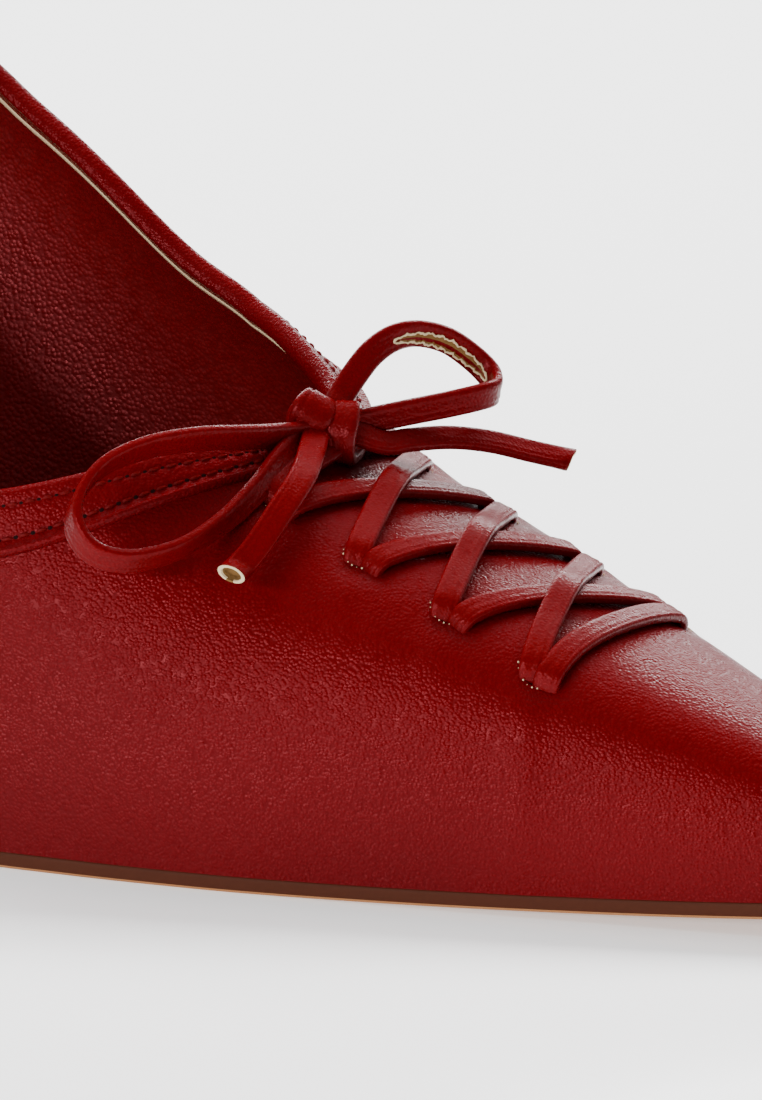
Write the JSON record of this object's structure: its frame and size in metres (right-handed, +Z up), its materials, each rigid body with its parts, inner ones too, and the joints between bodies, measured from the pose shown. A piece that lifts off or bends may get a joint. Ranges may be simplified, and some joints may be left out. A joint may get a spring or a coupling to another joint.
{
  "type": "lace up heel",
  "caption": "Pointed court shoe for the right foot with a slim covered heel, criss-cross lacing on the vamp and a tied leather bow.",
  "frame": {"origin": "middle of the heel tip's foot, on the floor", "axes": "+X to the toe, +Y to the inner side of the right foot, +Z up"},
  "size_m": [0.2436, 0.0722, 0.1313],
  "materials": {
    "upper_leather": "deep red, finely grained, soft sheen",
    "lace_leather": "deep red folded strips with bright edges",
    "lining_leather": "dark red lining leather",
    "sole_leather": "brown sole leather, satin edge",
    "heel_cover": "deep red leather drawn over the heel",
    "tip_rubber": "dark matt rubber"
  },
  "bodies": {
    "root": {"bow_end_left": "lace_leather", "bow_end_right": "lace_leather", "bow_knot": "lace_leather", "bow_loop_left": "lace_leather", "bow_loop_right": "lace_leather", "collar_band": "upper_leather", "heel": "heel_cover", "heel_tip": "tip_rubber", "insole": "lining_leather", "lace_crossings": "lace_leather", "outsole": "sole_leather", "upper": "upper_leather"}
  },
  "joints": []
}
